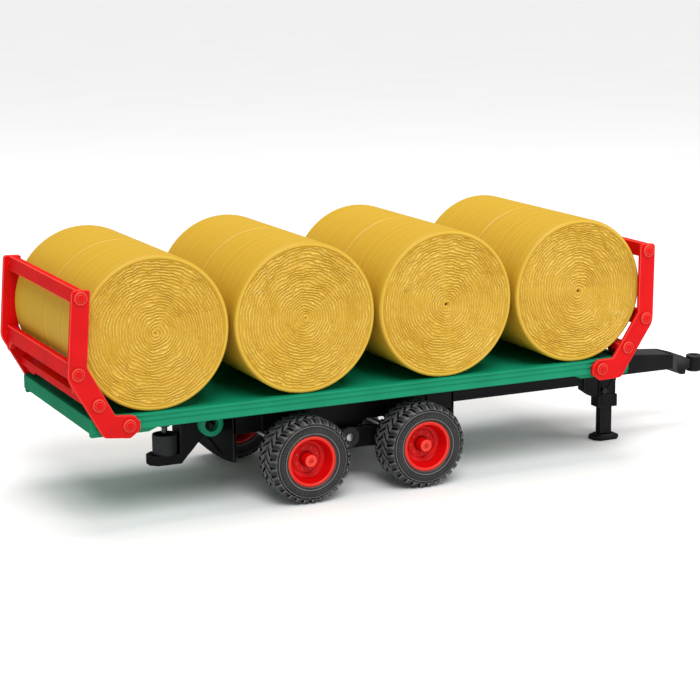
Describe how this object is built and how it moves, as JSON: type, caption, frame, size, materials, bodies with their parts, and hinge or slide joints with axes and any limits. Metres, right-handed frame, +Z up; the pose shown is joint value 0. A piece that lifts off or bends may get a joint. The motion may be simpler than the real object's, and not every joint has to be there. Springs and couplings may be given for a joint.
{
  "type": "toy bale trailer",
  "caption": "Toy farm trailer with a flat deck, rocking tandem bogie, leaning end racks, jack leg and rear coupling, loaded with loose round bales.",
  "frame": {"origin": "centre of the bounding box's base: on the ground, midway along and across the whole trailer", "axes": "+X forwards towards the drawbar's eye, +Y to the trailer's left, +Z up"},
  "size_m": [0.5418, 0.161, 0.1802],
  "materials": {
    "green_plastic": "satin moulded plastic",
    "red_plastic": "semi-gloss moulded plastic",
    "black_plastic": "satin moulded plastic",
    "tyre_rubber": "matt moulded tyre",
    "straw_plastic": "satin moulded plastic",
    "steel": "bright turned steel"
  },
  "bodies": {
    "trailer": {"deck": "green_plastic", "frame": "black_plastic", "frame_screw_1": "steel", "frame_screw_2": "steel", "frame_screw_3": "steel", "frame_screw_4": "steel", "axle_carrier": "black_plastic", "drawbar": "black_plastic", "towing_eye": "black_plastic", "leg_housing": "black_plastic", "hitch_body": "black_plastic"},
    "bogie": {"bogie_rocker_right": "black_plastic", "bogie_rocker_left": "black_plastic", "bogie_pivot": "steel", "axle_rear": "steel", "axle_front": "steel"},
    "rear_wheel_right": {"tyre_rear_right": "tyre_rubber", "rim_rear_right": "red_plastic", "hub_cap_rear_right": "red_plastic"},
    "rear_wheel_left": {"tyre_rear_left": "tyre_rubber", "rim_rear_left": "red_plastic", "hub_cap_rear_left": "red_plastic"},
    "front_wheel_right": {"tyre_front_right": "tyre_rubber", "rim_front_right": "red_plastic", "hub_cap_front_right": "red_plastic"},
    "front_wheel_left": {"tyre_front_left": "tyre_rubber", "rim_front_left": "red_plastic", "hub_cap_front_left": "red_plastic"},
    "front_rack": {"front_rack_plate_right": "red_plastic", "front_rack_pivot_pin_right": "red_plastic", "front_rack_plate_left": "red_plastic", "front_rack_pivot_pin_left": "red_plastic", "front_rack_top_bar": "red_plastic", "front_rack_middle_bar": "red_plastic", "front_rack_lower_bar": "red_plastic"},
    "rear_rack": {"rear_rack_plate_right": "red_plastic", "rear_rack_pivot_pin_right": "red_plastic", "rear_rack_plate_left": "red_plastic", "rear_rack_pivot_pin_left": "red_plastic", "rear_rack_top_bar": "red_plastic", "rear_rack_middle_bar": "red_plastic", "rear_rack_lower_bar": "red_plastic"},
    "jack_leg": {"leg_post": "black_plastic", "leg_foot": "black_plastic"},
    "hitch_pin": {"hitch_pin": "steel"},
    "bale_1_right": {"bale_1_right": "straw_plastic"},
    "bale_1_left": {"bale_1_left": "straw_plastic"},
    "bale_2_right": {"bale_2_right": "straw_plastic"},
    "bale_2_left": {"bale_2_left": "straw_plastic"},
    "bale_3_right": {"bale_3_right": "straw_plastic"},
    "bale_3_left": {"bale_3_left": "straw_plastic"},
    "bale_4_right": {"bale_4_right": "straw_plastic"},
    "bale_4_left": {"bale_4_left": "straw_plastic"}
  },
  "joints": [
    {"name": "bogie_rock", "type": "hinge", "parent": "trailer", "child": "bogie", "pos_m": [-0.05608, 0, 0.034], "axis": [0, 1, 0], "range_deg": [-5, 5]},
    {"name": "rear_wheel_spin_right", "type": "hinge", "parent": "bogie", "child": "rear_wheel_right", "pos_m": [-0.10023, -0.0653, 0.0298], "axis": [0, 1, 0], "continuous": true},
    {"name": "rear_wheel_spin_left", "type": "hinge", "parent": "bogie", "child": "rear_wheel_left", "pos_m": [-0.10023, 0.0653, 0.0298], "axis": [0, 1, 0], "continuous": true},
    {"name": "front_wheel_spin_right", "type": "hinge", "parent": "bogie", "child": "front_wheel_right", "pos_m": [-0.01193, -0.0653, 0.0298], "axis": [0, 1, 0], "continuous": true},
    {"name": "front_wheel_spin_left", "type": "hinge", "parent": "bogie", "child": "front_wheel_left", "pos_m": [-0.01193, 0.0653, 0.0298], "axis": [0, 1, 0], "continuous": true},
    {"name": "front_rack_fold", "type": "hinge", "parent": "trailer", "child": "front_rack", "pos_m": [0.13042, 0, 0.0704], "axis": [0, 1, 0], "range_deg": [-4, 0]},
    {"name": "rear_rack_fold", "type": "hinge", "parent": "trailer", "child": "rear_rack", "pos_m": [-0.22998, 0, 0.0704], "axis": [0, 1, 0], "range_deg": [-5.2, 2]},
    {"name": "jack_leg_slide", "type": "slide", "parent": "trailer", "child": "jack_leg", "axis": [0, 0, 1], "range_m": [0, 0.02]},
    {"name": "hitch_pin_lift", "type": "slide", "parent": "trailer", "child": "hitch_pin", "axis": [0, 0, 1], "range_m": [0, 0.022]},
    {"name": "bale_1_right_lift", "type": "slide", "parent": "trailer", "child": "bale_1_right", "axis": [0.1628, 0, 0.9867], "range_m": [0, 0.06]},
    {"name": "bale_1_left_lift", "type": "slide", "parent": "trailer", "child": "bale_1_left", "axis": [0.1628, 0, 0.9867], "range_m": [0, 0.06]},
    {"name": "bale_2_right_lift", "type": "slide", "parent": "trailer", "child": "bale_2_right", "axis": [0.1093, 0, 0.994], "range_m": [0, 0.06]},
    {"name": "bale_2_left_lift", "type": "slide", "parent": "trailer", "child": "bale_2_left", "axis": [0.1093, 0, 0.994], "range_m": [0, 0.06]},
    {"name": "bale_3_right_lift", "type": "slide", "parent": "trailer", "child": "bale_3_right", "axis": [0.0549, 0, 0.9985], "range_m": [0, 0.06]},
    {"name": "bale_3_left_lift", "type": "slide", "parent": "trailer", "child": "bale_3_left", "axis": [0.0549, 0, 0.9985], "range_m": [0, 0.06]},
    {"name": "bale_4_right_lift", "type": "slide", "parent": "trailer", "child": "bale_4_right", "axis": [0, 0, 1], "range_m": [0, 0.06]},
    {"name": "bale_4_left_lift", "type": "slide", "parent": "trailer", "child": "bale_4_left", "axis": [0, 0, 1], "range_m": [0, 0.06]}
  ]
}
